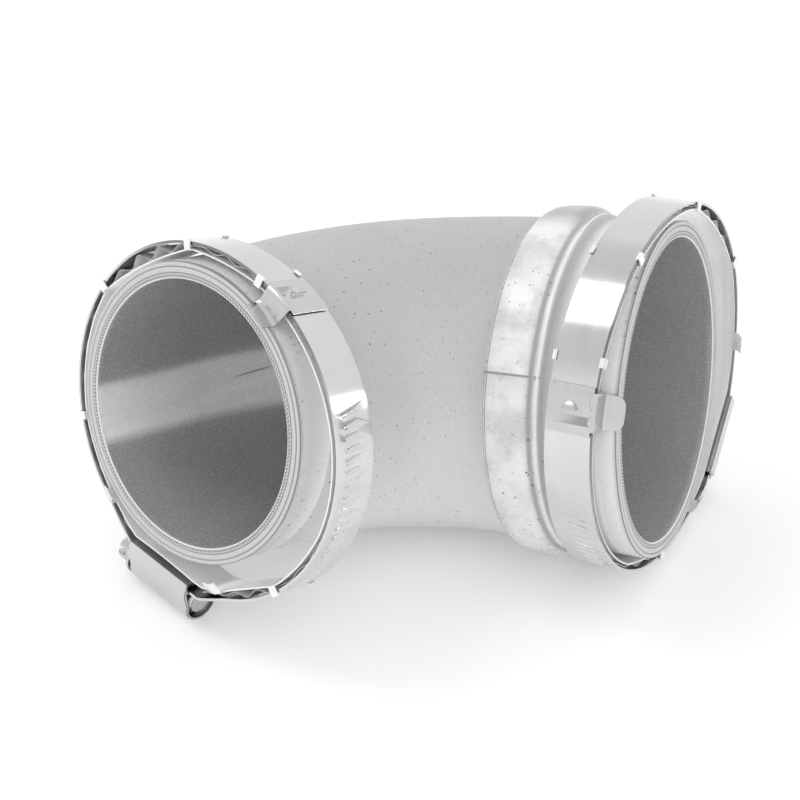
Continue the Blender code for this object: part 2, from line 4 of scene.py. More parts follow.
import bmesh
import bpy
import numpy as np
from mathutils import Matrix, Vector


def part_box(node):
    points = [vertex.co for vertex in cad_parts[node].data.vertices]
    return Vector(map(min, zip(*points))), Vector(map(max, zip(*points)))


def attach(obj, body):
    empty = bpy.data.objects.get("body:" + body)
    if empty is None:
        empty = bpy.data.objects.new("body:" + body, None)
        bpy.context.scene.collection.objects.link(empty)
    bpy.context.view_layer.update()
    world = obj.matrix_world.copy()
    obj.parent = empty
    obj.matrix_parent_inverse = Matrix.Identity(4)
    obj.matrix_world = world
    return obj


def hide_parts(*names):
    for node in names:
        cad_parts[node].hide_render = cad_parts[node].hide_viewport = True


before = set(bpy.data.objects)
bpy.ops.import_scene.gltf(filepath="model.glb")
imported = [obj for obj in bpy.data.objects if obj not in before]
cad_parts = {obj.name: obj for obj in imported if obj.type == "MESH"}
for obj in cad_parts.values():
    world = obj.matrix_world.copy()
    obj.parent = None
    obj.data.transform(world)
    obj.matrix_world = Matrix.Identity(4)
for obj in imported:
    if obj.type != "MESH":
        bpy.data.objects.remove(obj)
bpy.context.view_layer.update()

MM = 0.001
UP = np.array([0.0, 0.0, 1.0])

# Camera at the photograph's viewing angle
CAMERA_PLACE = (0.15592, -0.37142, 0.30178)
CAMERA_TURN = (56.994, -2.1, 24.439)
CAMERA_LENS = 77.3

# Lamps: the key is mirrored by the large band, and the side one by the small band
KEY_PLACE = (-0.38, -0.16, 0.78)
KEY_TARGET = (0.06, 0.0, 0.07)
KEY_SIZE = (0.30, 0.30)
KEY_LEVEL = 0.12
SIDE_PLACE = (0.641, 0.41, 0.23)
SIDE_TARGET = (0.01, -0.057, 0.077)
SIDE_SIZE = (0.07, 0.06)
SIDE_LEVEL = 0.015

# Surroundings: half width, grey level and glow of the floor, and a light grey hood round the
# key lamp's direction, from the cosine at its rim to the one where it has its full tone
FLOOR_REACH = 4.0
FLOOR_LEVEL = 0.90
FLOOR_GLOW = 0.22
HOOD_RIM = 0.70
HOOD_FULL = 0.82
HOOD_LEVEL = 0.80

# Driving sizes of the elbow, as in the solid model
SMALL_BORE = 70.0 * MM
LARGE_BORE = 83.0 * MM
WALL = 4.4 * MM
BEND_ANGLE = math.radians(75.6)
BEND_RADIUS = 57.0 * MM
SMALL_ARM = 83.5 * MM
LARGE_ARM = 82.0 * MM
WIDENING = ((0.0, 0.0), (0.1, 0.031), (0.5, 0.615), (0.8, 0.862), (1.0, 1.0))
REST_ROLL = math.radians(-16.9)
REST_PITCH = math.radians(-10.1)

# Raised collar: distance from the large end, then height over the hose
COLLAR_PROFILE = (
    (37.2 * MM, 0.0 * MM),
    (36.4 * MM, 0.8 * MM),
    (35.2 * MM, 2.3 * MM),
    (33.8 * MM, 3.1 * MM),
    (31.8 * MM, 3.4 * MM),
    (25.4 * MM, 3.4 * MM),
    (24.2 * MM, 3.0 * MM),
    (23.4 * MM, 2.2 * MM),
    (22.8 * MM, 1.3 * MM),
    (22.0 * MM, 1.2 * MM),
    (21.4 * MM, 1.5 * MM),
    (20.7 * MM, 1.1 * MM),
    (20.0 * MM, 0.2 * MM),
    (19.5 * MM, 0.0 * MM),
)
COLLAR_SOFTNESS = 0.45 * MM
WRAPPED_HEIGHT = 1.5 * MM

# Seam where the collar's wrap laps over itself: its angle, how far the upper layer fades out, the
# width of its edge, its step, and the collar's height from which the step is full
LAP_ANGLE = math.radians(13.0)
LAP_FADE = math.radians(70.0)
LAP_EDGE = math.radians(0.9)
LAP_STEP = 0.45 * MM
LAP_FULL_HEIGHT = 2 * MM

# Unevenness of the surface, as heights
SWELL = 0.05 * MM
WRINKLE = 0.09 * MM
GRAIN = 0.03 * MM

# Fineness of the elbow's surface
AROUND = 288
STEP_ALONG = 1.3 * MM
STEP_COLLAR = 0.4 * MM
STEP_BORE = 2 * MM
BORE_START = 0.1 * MM
BORE_BLEND = 6 * MM
EDGE_ROUND = 0.5 * MM
RIM_ROUND = 0.3 * MM

# Fine grooves in the cut ends, at shares of the wall
PLY_LINES = (0.30, 0.66, 0.85)
GROOVE = 0.14 * MM
GROOVE_HALF = 0.16 * MM

# Tones of the outside: heights of its painted light and its painted shade level, darker towards
# the top, then each end, lightened by painted light against the shade under the clamps, as the
# distance from it where its tone begins, where that is full, and its grey level
PAINTED_LIGHT_HEIGHT = 25 * MM
PAINTED_SHADE_HEIGHT = 85 * MM
SMALL_END_PAINTED_LIGHT = (16 * MM, 10 * MM, 0.74)
LARGE_END_PAINTED_LIGHT = (19 * MM, 16 * MM, 0.90)

# Painted highlights on the hose beside each clamp: distance from the small end where one starts,
# is full, starts to fade and ends, and middle and half width of the other from the large end
SMALL_PAINTED_HIGHLIGHT = (4 * MM, 10 * MM, 10.4 * MM, 11 * MM)
LARGE_PAINTED_HIGHLIGHT = (5.6 * MM, 0.9 * MM)

# Tones of the cut ends: ply lines as share of the wall and grey level, and two stitched lines as
# share of the wall and shift of their stitches
PLY_TONES = ((0.30, 0.26), (0.66, 0.24))
STITCH_LINES = ((0.80, 0.0), (0.88, 2.4))
STITCH_PITCH = 1.1 * MM

# Tones of the collar: where along Y its grey stretch starts, is full, starts to fade and ends,
# and lines as distance from the large end, half width, grey level and strength: two dark lines of
# painted shade under the wrap's lifted left edge, painted shade in the groove of its right
# shoulder, a painted highlight on the step beyond it, and a grey strip at its right foot
CREST = (15 * MM, 25 * MM, 35 * MM, 50 * MM)
# Width of the painted shade on the lower layer before the seam's step, and half width of the seam's
# line
SEAM_SHADE = 6 * MM
SEAM_HALF = 0.4 * MM
COLLAR_SHADE_AND_HIGHLIGHT_LINES = (
    (35.9 * MM, 0.35 * MM, 0.24, 0.8),
    (34.9 * MM, 0.30 * MM, 0.28, 0.8),
    (22.9 * MM, 0.80 * MM, 0.46, 1.0),
    (21.4 * MM, 0.45 * MM, 1.00, 1.0),
    (20.2 * MM, 0.90 * MM, 0.62, 1.0),
)

# Bore of the small end: the angles where a painted reflection starts, is full, starts to fade and
# ends, its length and how softly that ends, and a scratch as place on the map and half size
PAINTED_REFLECTION_ANGLES = (math.radians(174.5), math.radians(178.0), math.radians(199.0), math.radians(204.0))
PAINTED_REFLECTION_LENGTH = 80.0 * MM
PAINTED_REFLECTION_FADE = 12 * MM
SCRATCH = (135.6 * MM, 47.0 * MM)
SCRATCH_HALF = (0.35 * MM, 5 * MM)

# Specks: cells per metre, largest radius, and share of the cells that hold one
LARGE_SPECKS = (230.0, 0.42 * MM, 0.45)
SMALL_SPECKS = (520.0, 0.26 * MM, 0.20)
BORE_FLECKS = (130.0, 0.6 * MM, 0.03)
STEEL_SPECKS = (260.0, 0.22 * MM, 0.06)

# Steel pieces of a clamp: slot, grey level, roughness, metallic share and edge rounding
STEEL = {
    "band": ("band_steel", 0.67, 0.14, 1.0, 0.18 * MM),
    "wave_spring": ("spring_steel", 0.96, 0.18, 0.3, 0.06 * MM),
    "liner": ("liner_steel", 0.97, 0.18, 0.3, 0.12 * MM),
    "housing": ("housing_steel", 0.62, 0.24, 1.0, 0.20 * MM),
    "screw": ("screw_steel", 0.60, 0.28, 1.0, 0.15 * MM),
    "clip": ("clip_steel", 0.60, 0.22, 1.0, 0.12 * MM),
}
EDGE_LEVEL = 0.12
EDGE_ROUGHNESS = 0.35
EDGE_LINE_LEVEL = 0.24
EDGE_LINE_HALF = 0.40 * MM
SHARP_ANGLE = math.radians(32)
SAME_PLANE = math.radians(0.6)
SAME_POINT = 0.002 * MM


# Elbow surface

def bend_tangent_length():
    return BEND_RADIUS * math.tan(BEND_ANGLE / 2)


def hose_length():
    return SMALL_ARM + LARGE_ARM - 2 * bend_tangent_length() + BEND_RADIUS * BEND_ANGLE


def centre_line(distance):
    """Point and direction of the hose's centre line at a distance from the small end."""
    tangent_length = bend_tangent_length()
    first = SMALL_ARM - tangent_length
    into = np.array([math.cos(BEND_ANGLE), math.sin(BEND_ANGLE), 0.0])
    if distance <= first:
        return -into * (SMALL_ARM - distance), into
    turned = min((distance - first) / BEND_RADIUS, BEND_ANGLE)
    heading = BEND_ANGLE - turned
    direction = np.array([math.cos(heading), math.sin(heading), 0.0])
    bend_centre = np.array([tangent_length, -BEND_RADIUS, 0.0])
    outwards = np.array([-math.sin(heading), math.cos(heading), 0.0])
    beyond = max(0.0, distance - first - BEND_RADIUS * BEND_ANGLE)
    return bend_centre + outwards * BEND_RADIUS + direction * beyond, direction


def averaged(function, distance, width):
    """Mean of a function over a stretch, which rounds its corners."""
    offsets = np.linspace(-width, width, 9)
    return float(np.mean([function(distance + offset) for offset in offsets]))


def bore_radius(distance):
    lengths, widened = zip(*WIDENING)
    share = float(np.interp(distance / hose_length(), lengths, widened))
    return (SMALL_BORE + (LARGE_BORE - SMALL_BORE) * share) / 2


def smooth_bore(distance):
    reach = min(BORE_BLEND, distance, hose_length() - distance)
    return averaged(bore_radius, distance, max(reach, 0.0))


def collar_height(distance):
    from_end, heights = zip(*reversed(COLLAR_PROFILE))
    return float(np.interp(hose_length() - distance, from_end, heights))


class Noise:
    """Smooth random field over the hose's surface that closes on itself around the hose."""

    CELLS_ALONG = 400
    CELLS_BEFORE = 20

    def __init__(self, seed, around, cell):
        self.around = around
        self.cell = cell
        self.grid = np.random.default_rng(seed).uniform(-1, 1, (around, self.CELLS_ALONG))

    def at(self, angles, distance):
        a = np.mod(angles / (2 * math.pi), 1) * self.around
        d = distance / self.cell + self.CELLS_BEFORE
        i = a.astype(int)
        j = int(d)
        u = a - i
        v = d - j
        u = u * u * (3 - 2 * u)
        v = v * v * (3 - 2 * v)
        following = (i + 1) % self.around
        near = self.grid[i % self.around, j] * (1 - u) + self.grid[following, j] * u
        far = self.grid[i % self.around, j + 1] * (1 - u) + self.grid[following, j + 1] * u
        return near * (1 - v) + far * v


def lap_height(angles, height):
    """Extra height of the collar's wrap, which laps over itself at one seam."""
    after = np.mod(angles - LAP_ANGLE, 2 * math.pi)
    fade = np.clip(1 - after / LAP_FADE, 0, 1)
    edge = np.clip(after / LAP_EDGE, 0, 1)
    share = np.clip(height / LAP_FULL_HEIGHT, 0, 1)
    return LAP_STEP * fade * edge * share


def outer_stations():
    """Distances of the rings on the outside, closer together on the collar."""
    total = hose_length()
    start = total - COLLAR_PROFILE[0][0] - 2 * MM
    end = total - COLLAR_PROFILE[-1][0] + 1 * MM
    before = np.arange(EDGE_ROUND, start, STEP_ALONG)
    collar = np.arange(start, end, STEP_COLLAR)
    after = np.arange(end, total - EDGE_ROUND, STEP_ALONG)
    return [*before, *collar, *after, total - EDGE_ROUND]


def end_rings(distance, inwards):
    """Rings of a cut end from its outer edge to its bore: distance, depth and cut share."""
    outer = []
    for turn in np.linspace(0, math.pi / 2, 5):
        back = EDGE_ROUND * (1 - math.sin(turn))
        outer.append((distance + inwards * back, EDGE_ROUND * (1 - math.cos(turn)), math.sin(turn)))
    face = []
    for line in PLY_LINES:
        for offset, drop in ((-GROOVE_HALF, 0.0), (0.0, GROOVE), (GROOVE_HALF, 0.0)):
            face.append((distance + inwards * drop, line * WALL + offset, 1.0))
    inner = []
    for turn in np.linspace(0, math.pi / 2, 4):
        back = RIM_ROUND * (1 - math.cos(turn))
        depth = WALL - RIM_ROUND * (1 - math.sin(turn))
        inner.append((distance + inwards * back, depth, 1.0))
    return outer + face + inner


def hose_rings():
    """Rings of the closed wall: distance, depth under the outside, cut share, bore share."""
    total = hose_length()
    bore = [*np.arange(total - RIM_ROUND - BORE_START, RIM_ROUND, -STEP_BORE), RIM_ROUND + BORE_START]
    rings = [(distance, 0.0, 0.0, 0.0) for distance in outer_stations()]
    rings += [(*ring, 0.0) for ring in end_rings(total, -1)]
    rings += [(distance, WALL, 0.0, 1.0) for distance in bore]
    rings += [(*ring, 0.0) for ring in reversed(end_rings(0.0, 1))]
    return rings


def painted_reflection_share(angles, distance):
    """How far the bore's painted reflection shows at each angle round one ring."""
    fade = np.clip((PAINTED_REFLECTION_LENGTH - distance) / PAINTED_REFLECTION_FADE, 0, 1)
    return fade * np.interp(angles, PAINTED_REFLECTION_ANGLES, (0.0, 1.0, 1.0, 0.0))


def rest_matrix():
    """Lean of the resting hose; its place comes from the solid model's box."""
    return Matrix.Rotation(REST_PITCH, 3, "Y") @ Matrix.Rotation(REST_ROLL, 3, "X")


def ring_radius(angles, distance, depth, cut_share, height, wrapped, fields):
    """Radius at each angle round one ring, with the unevenness of its surface."""
    wrinkles, swell, grain = fields
    radius = np.full(AROUND, smooth_bore(distance) + WALL + height - depth)
    if cut_share == 0:
        radius = radius + SWELL * swell.at(angles, distance) - SWELL
    if wrapped > 0:
        radius = radius + lap_height(angles, height)
        radius = radius + wrapped * WRINKLE * wrinkles.at(angles, distance)
        radius = radius + wrapped * GRAIN * grain.at(angles, distance)
    return radius


def hose_surface():
    """Points, measures for the map and shares for the material, all ring by ring."""
    angles = np.arange(AROUND) * 2 * math.pi / AROUND
    fields = (Noise(3, 46, 5 * MM), Noise(5, 14, 16 * MM), Noise(8, 150, 2.2 * MM))
    points = []
    measures = []
    shares = {"cut": [], "bore": [], "wrap": [], "pale": []}
    for distance, depth, cut_share, bore_share in hose_rings():
        height = 0.0
        if bore_share == 0:
            height = averaged(collar_height, distance, COLLAR_SOFTNESS)
        wrapped = min(1.0, height / WRAPPED_HEIGHT)
        centre, direction = centre_line(distance)
        side = np.cross(direction, UP)
        outwards = np.cos(angles)[:, None] * side + np.sin(angles)[:, None] * UP
        radius = ring_radius(angles, distance, depth, cut_share, height, wrapped, fields)
        points.append(centre + radius[:, None] * outwards)
        measures.append((smooth_bore(distance) + WALL, distance - depth))
        shares["cut"].append(np.full(AROUND, cut_share))
        shares["bore"].append(np.full(AROUND, bore_share))
        shares["wrap"].append(np.full(AROUND, wrapped))
        # Share of the bore's painted reflection
        shares["pale"].append(bore_share * painted_reflection_share(angles, distance))
    return np.array(points), measures, shares


def ring_faces(count, around):
    """Faces between each ring and the next, with the last ring joined to the first."""
    faces = []
    for i in range(count):
        j = (i + 1) % count
        for k in range(around):
            m = (k + 1) % around
            faces.append((i * around + k, i * around + m, j * around + m, j * around + k))
    return faces


def ring_map(measures, around):
    """Map in metres of the faces between rings: round the hose and along it."""
    corners = []
    count = len(measures)
    for i in range(count):
        j = (i + 1) % count
        for k in range(around):
            for ring, step in ((i, k), (i, k + 1), (j, k + 1), (j, k)):
                surface, along = measures[ring]
                corners += [2 * math.pi * surface * step / around, along]
    return corners


def make_hose(material):
    points, measures, shares = hose_surface()
    count, around, _ = points.shape
    placed = points.reshape(-1, 3) @ np.array(rest_matrix()).T
    low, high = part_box("hose_elbow")
    placed += (np.array(low + high) - placed.min(0) - placed.max(0)) / 2
    mesh = bpy.data.meshes.new("hose_surface")
    mesh.from_pydata(placed.tolist(), [], ring_faces(count, around))
    layer = mesh.uv_layers.new(name="metres")
    layer.data.foreach_set("uv", ring_map(measures, around))
    for name, values in shares.items():
        attribute = mesh.attributes.new(name, "FLOAT", "POINT")
        attribute.data.foreach_set("value", np.array(values).ravel().astype(np.float32))
    mesh.shade_smooth()
    mesh.update()
    mesh.materials.append(material)
    hose = bpy.data.objects.new("elbow_surface", mesh)
    bpy.context.scene.collection.objects.link(hose)
    return hose


# Steel pieces

def corners_of(node):
    return np.array([v.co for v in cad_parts[node].data.vertices], float)


def flattened(offsets, axis):
    """Offsets without their part along the axis."""
    return offsets - np.outer(offsets @ axis, axis)


def hoop_of(node):
    """Centre, axis and mean radius of the hoop that a clamp's part follows, in three rounds."""
    corners = corners_of(node)
    centre = (corners.min(0) + corners.max(0)) / 2
    for _ in range(3):
        offsets = corners - centre
        _, _, directions = np.linalg.svd(offsets, full_matrices=False)
        axis = directions[2]
        squares = (flattened(offsets, axis) ** 2).sum(1)
        unknowns = np.column_stack([2 * offsets, np.ones(len(corners))])
        solved, *_ = np.linalg.lstsq(unknowns, squares, rcond=None)
        shift = solved[:3] - axis * (solved[:3] @ axis)
        centre = centre + shift
    distances = np.sqrt((flattened(corners - centre, axis) ** 2).sum(1))
    return centre, axis, float(distances.mean())


def extent_along(node, hoop):
    """Lowest and highest place of a part along its hoop's axis."""
    centre, axis, _ = hoop
    along = (corners_of(node) - centre) @ axis
    return float(along.min()), float(along.max())


def map_round_hoop(shape, hoop):
    """Map in metres: X round the hoop and Y along its axis, with no face cut by its seam."""
    centre, axis, radius = hoop
    first = np.cross(axis, UP)
    first = first / np.linalg.norm(first)
    second = np.cross(axis, first)
    layer = shape.loops.layers.uv.new("metres")
    for face in shape.faces:
        middle = np.array(face.calc_center_median()) - centre
        base = math.atan2(middle @ second, middle @ first)
        for loop in face.loops:
            offset = np.array(loop.vert.co) - centre
            angle = math.atan2(offset @ second, offset @ first)
            angle = base + (angle - base + math.pi) % (2 * math.pi) - math.pi
            loop[layer].uv = (angle * radius, offset @ axis)


def refined(node, hoop, material, edge_material, edge_round):
    """Copy of a solid with smooth curves, rounded edges and a map in metres."""
    shape = bmesh.new()
    shape.from_mesh(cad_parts[node].data)
    bmesh.ops.remove_doubles(shape, verts=shape.verts, dist=SAME_POINT)
    bmesh.ops.dissolve_limit(shape, angle_limit=SAME_PLANE, verts=shape.verts, edges=shape.edges)
    map_round_hoop(shape, hoop)
    for face in shape.faces:
        face.smooth = True
    mesh = bpy.data.meshes.new(f"{node}_surface")
    shape.to_mesh(mesh)
    shape.free()
    mesh.set_sharp_from_angle(angle=SHARP_ANGLE)
    mesh.materials.append(material)
    mesh.materials.append(edge_material)
    piece = bpy.data.objects.new(f"{node}_finish", mesh)
    bpy.context.scene.collection.objects.link(piece)
    bevel = piece.modifiers.new("Edges", "BEVEL")
    bevel.width = edge_round
    bevel.segments = 2
    bevel.material = 1
    bevel.limit_method = "ANGLE"
    bevel.angle_limit = SHARP_ANGLE
    bevel.harden_normals = True
    return piece


# Materials

class Shader:
    """Short ways to add nodes to one Principled material."""

    def __init__(self, name):
        self.material = bpy.data.materials.new(name)
        self.material.use_nodes = True
        self.tree = self.material.node_tree
        self.principled = self.tree.nodes["Principled BSDF"]

    def node(self, kind, inputs=(), **settings):
        node = self.tree.nodes.new(kind)
        for key, value in settings.items():
            setattr(node, key, value)
        for key, value in dict(inputs).items():
            self.feed(node.inputs[key], value)
        return node

    def feed(self, socket, value):
        if isinstance(value, bpy.types.NodeSocket):
            self.tree.links.new(value, socket)
        else:
            socket.default_value = value

    def set(self, name, value):
        self.feed(self.principled.inputs[name], value)

    def maths(self, operation, *values):
        node = self.node("ShaderNodeMath", operation=operation)
        for index, value in enumerate(values):
            self.feed(node.inputs[index], value)
        return node.outputs[0]

    def attribute(self, name):
        return self.node("ShaderNodeAttribute", attribute_name=name).outputs["Fac"]

    def grey(self, value):
        """Value made into a neutral colour."""
        node = self.node("ShaderNodeCombineColor", {"Red": value, "Green": value, "Blue": value})
        return node.outputs["Color"]

    def mix(self, share, first, second):
        node = self.node("ShaderNodeMix", data_type="FLOAT")
        self.feed(node.inputs["Factor"], share)
        self.feed(node.inputs["A"], first)
        self.feed(node.inputs["B"], second)
        return node.outputs["Result"]

    def ramp(self, value, low, high, to_low=0.0, to_high=1.0):
        node = self.node("ShaderNodeMapRange", {
            "Value": value, "From Min": low, "From Max": high,
            "To Min": to_low, "To Max": to_high}, clamp=True)
        return node.outputs["Result"]

    def map_metres(self, scale):
        """Surface coordinates in metres, times a scale for each direction."""
        uv = self.node("ShaderNodeUVMap", uv_map="metres").outputs["UV"]
        return self.node("ShaderNodeMapping", {"Vector": uv, "Scale": scale}).outputs["Vector"]

    def place(self):
        return self.node("ShaderNodeTexCoord").outputs["Object"]

    def part_of(self, vector, axis):
        return self.node("ShaderNodeSeparateXYZ", {"Vector": vector}).outputs[axis]

    def stretch(self, value, start, full, fading, end):
        """1 from full to fading, and 0 before the start and after the end."""
        return self.maths("MULTIPLY", self.ramp(value, start, full), self.ramp(value, end, fading))

    def line(self, value, at, width):
        """1 where a value is near a set one, fading to 0 at a distance of the given width."""
        distance = self.maths("ABSOLUTE", self.maths("SUBTRACT", value, at))
        return self.ramp(distance, 0.35 * width, width, 1.0, 0.0)

    def noise(self, vector, scale, detail=3.0, roughness=0.55):
        node = self.node("ShaderNodeTexNoise", {
            "Vector": vector, "Scale": scale, "Detail": detail, "Roughness": roughness})
        return node.outputs["Fac"]

    def weave(self, vector, scale):
        """Fine uneven threads along a map's Y direction."""
        node = self.node("ShaderNodeTexWave", {
            "Vector": vector, "Scale": scale, "Distortion": 2.0,
            "Detail": 2.0, "Detail Scale": 2.0}, wave_type="BANDS", bands_direction="X")
        return node.outputs["Fac"]

    def specks(self, vector, scale, size, share):
        """Small round marks at random spots of a map: 1 on a mark and 0 elsewhere."""
        cells = self.node(
            "ShaderNodeTexVoronoi", {"Vector": vector, "Scale": scale}, voronoi_dimensions="2D")
        chance = self.node("ShaderNodeSeparateColor", {"Color": cells.outputs["Color"]})
        kept = self.maths("LESS_THAN", chance.outputs["Red"], share)
        reach = self.ramp(chance.outputs["Green"], 0.0, 1.0, 0.4 * size * scale, size * scale)
        near = self.maths("SUBTRACT", reach, cells.outputs["Distance"])
        mark = self.ramp(near, 0.0, size * scale * 0.25)
        return self.maths("MULTIPLY", kept, mark)

    def bump(self, height, distance, strength=1.0, normal=None):
        node = self.node("ShaderNodeBump", {
            "Height": height, "Distance": distance, "Strength": strength})
        if normal is not None:
            self.feed(node.inputs["Normal"], normal)
        return node.outputs["Normal"]


def outside_tone(s, place, fine, broad, along):
    """Satin outside with painted shade darker towards the top, ends lightened by painted light, and a
    painted highlight near each.
    """
    from_end = s.maths("SUBTRACT", hose_length(), along)
    # Painted shade: darker towards the top and lighter low down, against how the lamps light the hose
    tone = s.ramp(s.part_of(place, "Z"), PAINTED_LIGHT_HEIGHT, PAINTED_SHADE_HEIGHT, 0.82, 0.49)
    # Painted light on each end, against the shade under its clamp
    for distance, (start, full, level) in ((along, SMALL_END_PAINTED_LIGHT), (from_end, LARGE_END_PAINTED_LIGHT)):
        tone = s.mix(s.ramp(distance, start, full), tone, level)
    tone = s.maths("ADD", tone, s.ramp(broad, 0.3, 0.7, -0.015, 0.015))
    tone = s.maths("ADD", tone, s.ramp(fine, 0.3, 0.7, -0.02, 0.02))
    # Painted highlight on the hose beside each clamp
    painted_highlight = s.maths("MAXIMUM", s.stretch(along, *SMALL_PAINTED_HIGHLIGHT), s.line(from_end, *LARGE_PAINTED_HIGHLIGHT))
    return s.mix(painted_highlight, tone, 1.0)


def collar_tone(s, place, around, from_end):
    """Pale glossy wrap with smudges, a grey stretch, a seam with painted shade before its step, and
    lines of painted shade and a painted highlight along its two edges.
    """
    patches = s.ramp(s.noise(place, 95.0, 4.0, 0.6), 0.46, 0.66, 0.90, 0.68)
    streaks = s.ramp(s.noise(s.map_metres((500.0, 60.0, 1.0)), 1.0, 3.0), 0.55, 0.75, 0.0, 0.10)
    tone = s.maths("SUBTRACT", patches, streaks)
    tone = s.mix(s.stretch(s.part_of(place, "Y"), *CREST), tone, 0.42)
    seam = LAP_ANGLE * (LARGE_BORE / 2 + WALL)
    # Painted shade on the lower layer, deepening up to the edge of the upper layer at the seam
    rising = s.ramp(around, seam - SEAM_SHADE, seam)
    shade_before_seam = s.maths("MULTIPLY", rising, s.maths("LESS_THAN", around, seam))
    tone = s.maths("SUBTRACT", tone, s.maths("MULTIPLY", shade_before_seam, 0.12))
    tone = s.mix(s.line(around, seam, SEAM_HALF), tone, 0.30)
    # Lines of painted shade under the lifted left edge and in the right shoulder's groove, a painted
    # highlight on the step, and a grey strip
    for at, width, level, share in COLLAR_SHADE_AND_HIGHLIGHT_LINES:
        tone = s.mix(s.maths("MULTIPLY", s.line(from_end, at, width), share), tone, level)
    return tone


def cut_tone(s, fine, around, along):
    """Cut wall: two thin dark ply lines, two stitched ones near the bore, and a white rim."""
    from_end = s.maths("ABSOLUTE", s.maths("SUBTRACT", hose_length(), along))
    depth = s.maths("MINIMUM", s.maths("ABSOLUTE", along), from_end)
    share = s.maths("DIVIDE", depth, WALL)
    tone = s.mix(fine, 0.56, 0.74)
    for at, level in PLY_TONES:
        tone = s.mix(s.line(share, at, 0.055), tone, level)
    for at, shift in STITCH_LINES:
        wave = s.maths("SINE", s.maths("MULTIPLY_ADD", around, 2 * math.pi / STITCH_PITCH, shift))
        dots = s.maths("MULTIPLY", s.ramp(wave, -0.2, 0.4), s.line(share, at, 0.05))
        tone = s.mix(dots, tone, 0.12)
    return s.mix(s.ramp(share, 0.92, 0.95), tone, 0.95)


def bore_tone(s, fine, broad, weave, metres, around, along):
    """Dark cloth bore with fine weave, a pale stretch of painted reflection with a scratch, and a few
    flecks.
    """
    tone = s.mix(broad, 0.35, 0.42)
    # Painted reflection: a pale streaky stretch along the small end's bore, held by the pale
    # attribute
    streaks = s.ramp(s.noise(s.map_metres((160.0, 30.0, 1.0)), 1.0, 3.0), 0.35, 0.65, 0.84, 0.95)
    tone = s.mix(s.attribute("pale"), tone, streaks)
    tone = s.maths("ADD", tone, s.ramp(fine, 0.3, 0.7, -0.03, 0.03))
    tone = s.maths("ADD", tone, s.ramp(weave, 0.0, 1.0, -0.02, 0.02))
    scratch = s.maths(
        "MULTIPLY",
        s.line(around, SCRATCH[0], SCRATCH_HALF[0]),
        s.line(along, SCRATCH[1], SCRATCH_HALF[1]))
    tone = s.mix(scratch, tone, 0.18)
    return s.mix(s.specks(metres, *BORE_FLECKS), tone, 0.95)


def hose_material():
    """Grey rubber: satin outside, glossy wrap on the collar, plies on the cuts, dark bore."""
    s = Shader("hose_rubber")
    bore = s.attribute("bore")
    cut = s.attribute("cut")
    wrap = s.attribute("wrap")
    place = s.place()
    metres = s.map_metres((1.0, 1.0, 1.0))
    around = s.part_of(metres, "X")
    along = s.part_of(metres, "Y")
    from_end = s.maths("SUBTRACT", hose_length(), along)
    fine = s.noise(place, 1100.0, 2.0)
    broad = s.noise(place, 45.0, 3.0)
    weave = s.weave(metres, 260.0)
    outside = outside_tone(s, place, fine, broad, along)
    colour = s.mix(wrap, outside, collar_tone(s, place, around, from_end))
    specks = s.maths("MAXIMUM", s.specks(metres, *LARGE_SPECKS), s.specks(metres, *SMALL_SPECKS))
    spread = s.ramp(s.noise(place, 38.0, 1.0), 0.40, 0.58, 0.3, 1.0)
    colour = s.mix(s.maths("MULTIPLY", specks, spread), colour, 0.16)
    colour = s.mix(s.ramp(cut, 0.3, 0.9), colour, cut_tone(s, fine, around, along))
    colour = s.mix(s.line(cut, 0.5, 0.45), colour, 0.22)
    colour = s.mix(bore, colour, bore_tone(s, fine, broad, weave, metres, around, along))
    s.set("Base Color", s.grey(colour))
    s.set("Specular IOR Level", 0.7)
    rough = s.mix(wrap, 0.50, 0.26)
    rough = s.mix(cut, rough, 0.7)
    rough = s.mix(bore, rough, 0.27)
    s.set("Roughness", s.maths("ADD", rough, s.ramp(fine, 0.3, 0.7, -0.04, 0.04)))
    normal = s.bump(fine, 0.02 * MM)
    normal = s.bump(weave, 0.01 * MM, 0.4, normal)
    s.set("Normal", normal)
    return s.material


def steel_material(name, level, roughness, metallic=1.0, darker_at=()):
    """Bright steel with faint lines round the hoop, faint smudges, and a few specks.

    It is darker along lines at the given places across the strip.
    """
    s = Shader(name)
    metres = s.map_metres((1.0, 1.0, 1.0))
    lines = s.noise(s.map_metres((40.0, 1400.0, 1.0)), 1.0, 4.0, 0.7)
    smudge = s.noise(s.place(), 70.0, 3.0)
    colour = s.ramp(lines, 0.25, 0.75, level - 0.02, level + 0.02)
    colour = s.maths("ADD", colour, s.ramp(smudge, 0.3, 0.7, -0.03, 0.02))
    colour = s.mix(s.specks(metres, *STEEL_SPECKS), colour, 0.25)
    for at in darker_at:
        colour = s.mix(s.line(s.part_of(metres, "Y"), at, EDGE_LINE_HALF), colour, EDGE_LINE_LEVEL)
    s.set("Base Color", s.grey(colour))
    s.set("Metallic", metallic)
    rough = s.ramp(smudge, 0.3, 0.7, roughness - 0.03, roughness + 0.04)
    s.set("Roughness", s.maths("ADD", rough, s.ramp(lines, 0.3, 0.7, -0.02, 0.02)))
    s.set("Normal", s.bump(lines, 0.004 * MM, 0.5))
    return s.material


